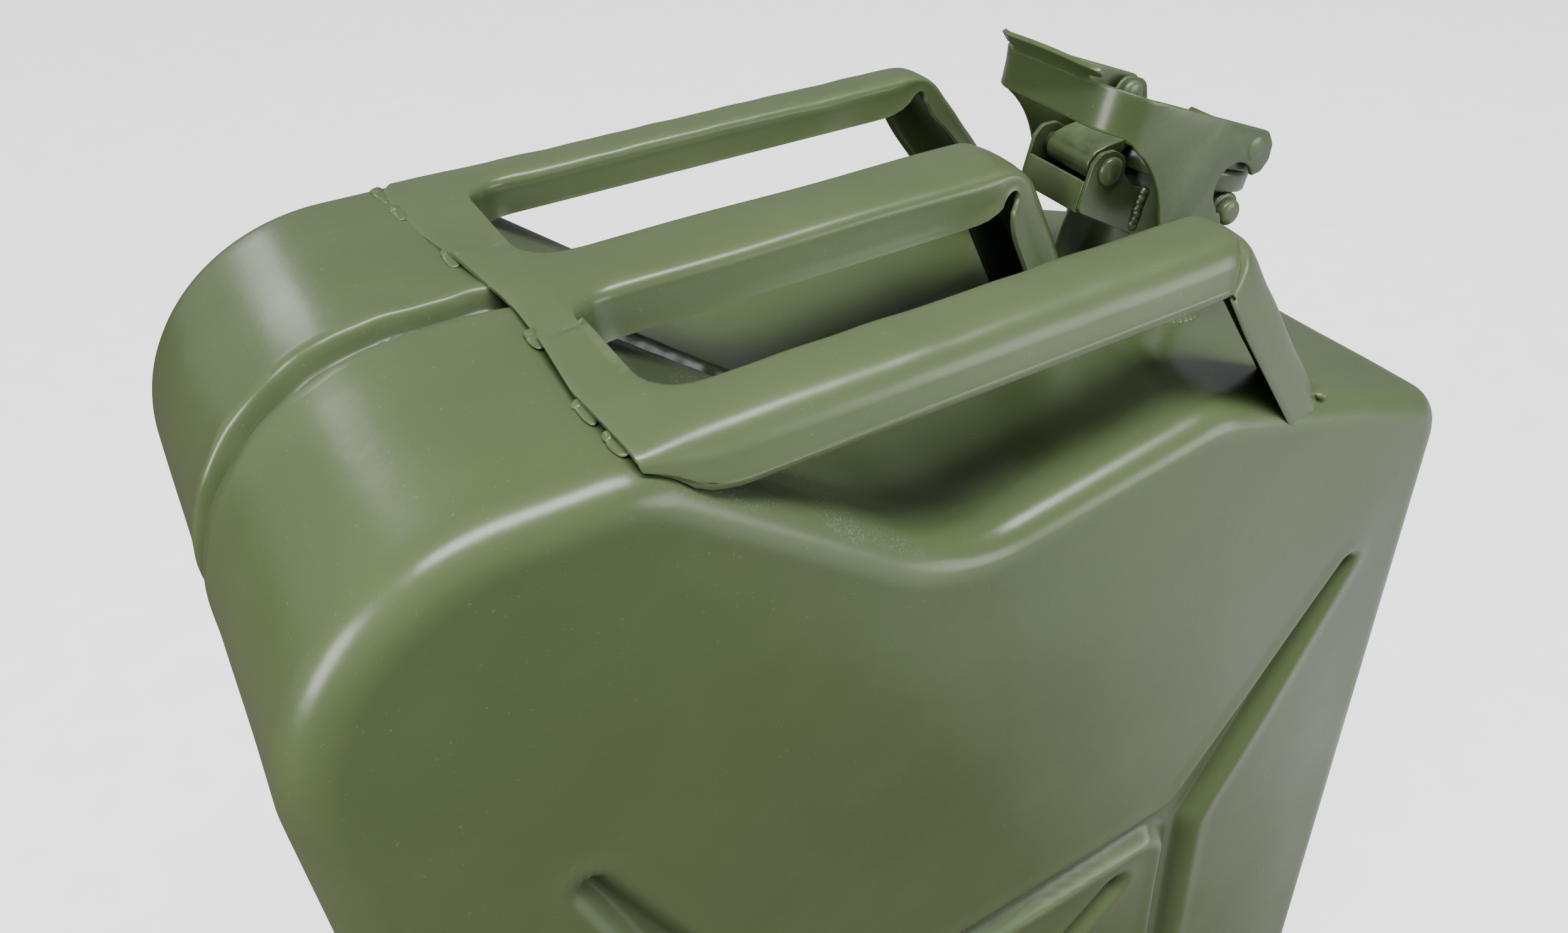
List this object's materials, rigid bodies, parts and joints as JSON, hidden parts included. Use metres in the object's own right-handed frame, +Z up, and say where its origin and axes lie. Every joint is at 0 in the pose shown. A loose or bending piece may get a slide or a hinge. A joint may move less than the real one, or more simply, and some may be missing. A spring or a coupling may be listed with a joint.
{
  "type": "jerry can",
  "caption": "Pressed steel jerry can, two half shells with a sunken welded seam, a three-bar carrying handle, and a sloping filler neck closed by a hinged lid with a hooked locking lever.",
  "frame": {"origin": "middle of the base, on the resting plane", "axes": "+X towards the filler neck, +Y to the left of the can seen from behind, +Z up"},
  "size_m": [0.345, 0.165, 0.4718],
  "materials": {
    "body_paint": "semi-gloss olive green enamel",
    "weld_paint": "semi-gloss olive green enamel",
    "handle_paint": "semi-gloss olive green enamel",
    "neck_paint": "semi-gloss olive green enamel",
    "pin_paint": "semi-gloss olive green enamel",
    "lid_paint": "semi-gloss olive green enamel",
    "bare_steel": "satin",
    "gasket_rubber": "matt black"
  },
  "bodies": {
    "can": {"left_half_shell": "body_paint", "right_half_shell": "body_paint", "seam_weld": "weld_paint", "carrying_handle": "handle_paint", "handle_root_welds": "weld_paint", "handle_foot_welds": "weld_paint", "filler_neck": "neck_paint", "neck_weld": "weld_paint", "left_catch_lug": "neck_paint", "right_catch_lug": "neck_paint", "hinge_bracket": "neck_paint", "hinge_bracket_welds": "weld_paint", "hinge_pin": "pin_paint", "breather_tube": "bare_steel", "breather_clip": "bare_steel"},
    "lid": {"lid_cap": "lid_paint", "lid_gasket": "gasket_rubber", "lid_bridge": "lid_paint", "lid_rivet": "pin_paint", "lever_rivets": "pin_paint"},
    "lever": {"locking_lever": "lid_paint"}
  },
  "joints": [
    {"name": "lid_hinge", "type": "hinge", "parent": "can", "child": "lid", "pos_m": [0.07884, 0, 0.43627], "axis": [0, -1, 0], "range_deg": [0, 100]},
    {"name": "lever_pivot", "type": "hinge", "parent": "lid", "child": "lever", "pos_m": [0.12151, 0, 0.43818], "axis": [0, 1, 0], "range_deg": [0, 115]}
  ],
  "couplings": [
    {"joint": "lever_pivot", "follows": "lid_hinge", "ratio": 1.15}
  ]
}
